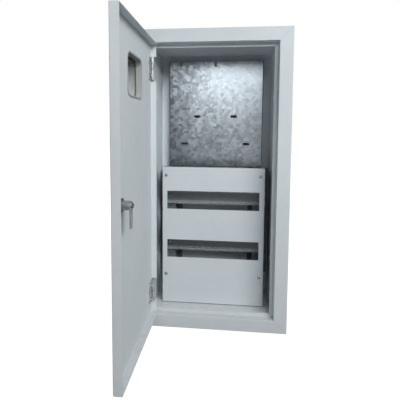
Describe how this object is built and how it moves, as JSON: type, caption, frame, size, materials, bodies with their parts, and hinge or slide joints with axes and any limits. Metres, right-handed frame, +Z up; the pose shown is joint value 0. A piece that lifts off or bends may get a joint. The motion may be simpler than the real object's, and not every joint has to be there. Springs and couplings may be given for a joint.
{
  "type": "recessed metal electrical enclosure",
  "caption": "Wall-recessed sheet-metal enclosure with a hinged, lockable door with a window, a slotted meter plate, and a slotted cover over device rails.",
  "frame": {"origin": "centre of the back wall's outer face", "axes": "+X to the right seen from the front, +Y into the wall, +Z up"},
  "size_m": [0.35, 0.439, 0.69],
  "materials": {
    "painted_sheet": "light grey powder coat, satin, with a fine orange-peel texture",
    "galvanised_sheet": "hot-dip galvanised, with a visible spangle",
    "plated_rail": "zinc plated, satin",
    "plated_fasteners": "zinc plated, bright",
    "hinge_steel": "zinc plated, satin",
    "window_plastic": "moulded grey plastic, finely textured",
    "clear_pane": "clear, smoke tinted",
    "lock_metal": "plated die casting, slightly dull",
    "cam_steel": "zinc plated, dull",
    "earth_brass": "turned brass"
  },
  "bodies": {
    "enclosure": {"back_box": "painted_sheet", "front_frame": "painted_sheet", "mounting_plate": "galvanised_sheet", "left_upright": "galvanised_sheet", "right_upright": "galvanised_sheet", "upper_din_rail": "plated_rail", "lower_din_rail": "plated_rail", "din_rail_screws": "plated_fasteners", "cover_pillars": "plated_fasteners", "device_cover": "painted_sheet", "cover_screws": "plated_fasteners", "upper_hinge_frame_leaf": "hinge_steel", "lower_hinge_frame_leaf": "hinge_steel", "hinge_screws": "plated_fasteners", "earth_stud": "earth_brass", "earth_washer": "earth_brass", "earth_nut": "earth_brass"},
    "door": {"door_panel": "painted_sheet", "window_frame": "window_plastic", "window_pane": "clear_pane", "lock_housing": "lock_metal", "lock_nut": "lock_metal", "upper_hinge_door_leaf": "hinge_steel", "lower_hinge_door_leaf": "hinge_steel", "upper_hinge_pin": "hinge_steel", "lower_hinge_pin": "hinge_steel", "hinge_nuts": "plated_fasteners"},
    "lock_core": {"lock_plug": "lock_metal", "lock_cam": "cam_steel", "cam_screw": "cam_steel"}
  },
  "joints": [
    {"name": "door_swing", "type": "hinge", "parent": "enclosure", "child": "door", "pos_m": [-0.1365, -0.1595, 0], "axis": [0, 0, 1], "range_deg": [-20, 90]},
    {"name": "lock_turn", "type": "hinge", "parent": "door", "child": "lock_core", "pos_m": [-0.1365, -0.397, -0.006], "axis": [-1, 0, 0], "range_deg": [0, 90]}
  ]
}
